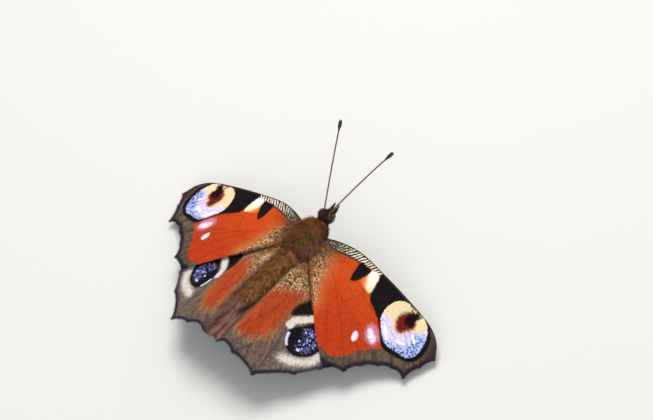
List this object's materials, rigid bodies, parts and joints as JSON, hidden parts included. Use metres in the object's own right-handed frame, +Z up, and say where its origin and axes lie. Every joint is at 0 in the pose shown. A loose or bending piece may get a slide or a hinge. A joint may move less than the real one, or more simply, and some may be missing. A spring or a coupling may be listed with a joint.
{
  "type": "peacock butterfly",
  "caption": "Life-size peacock butterfly standing with its four wings spread flat, feelers raised and walking legs on the floor.",
  "frame": {"origin": "on the floor, under the middle of the bounding box", "axes": "+Z up, +X towards the animal's left wing tip, -Y the way the head points"},
  "size_m": [0.0584, 0.0426, 0.0201],
  "materials": {
    "wing": "matt scaled membrane, brick red with eye spots",
    "body_fur": "brown fur",
    "head": "dark purple brown fur",
    "eye": "glossy dark compound eye",
    "feeler": "smooth brown horn-like cuticle",
    "leg": "scaled brown cuticle"
  },
  "bodies": {
    "root": {"head": "head", "thorax": "body_fur", "abdomen": "body_fur", "proboscis": "feeler", "eye_left": "eye", "antenna_left": "feeler", "palp_left": "head", "forewing_left": "wing", "hindwing_left": "wing", "foreleg_left": "leg", "midleg_femur_left": "leg", "midleg_tibia_left": "leg", "midleg_tarsus_left": "leg", "hindleg_femur_left": "leg", "hindleg_tibia_left": "leg", "hindleg_tarsus_left": "leg", "eye_right": "eye", "antenna_right": "feeler", "palp_right": "head", "forewing_right": "wing", "hindwing_right": "wing", "foreleg_right": "leg", "midleg_femur_right": "leg", "midleg_tibia_right": "leg", "midleg_tarsus_right": "leg", "hindleg_femur_right": "leg", "hindleg_tibia_right": "leg", "hindleg_tarsus_right": "leg"}
  },
  "joints": []
}
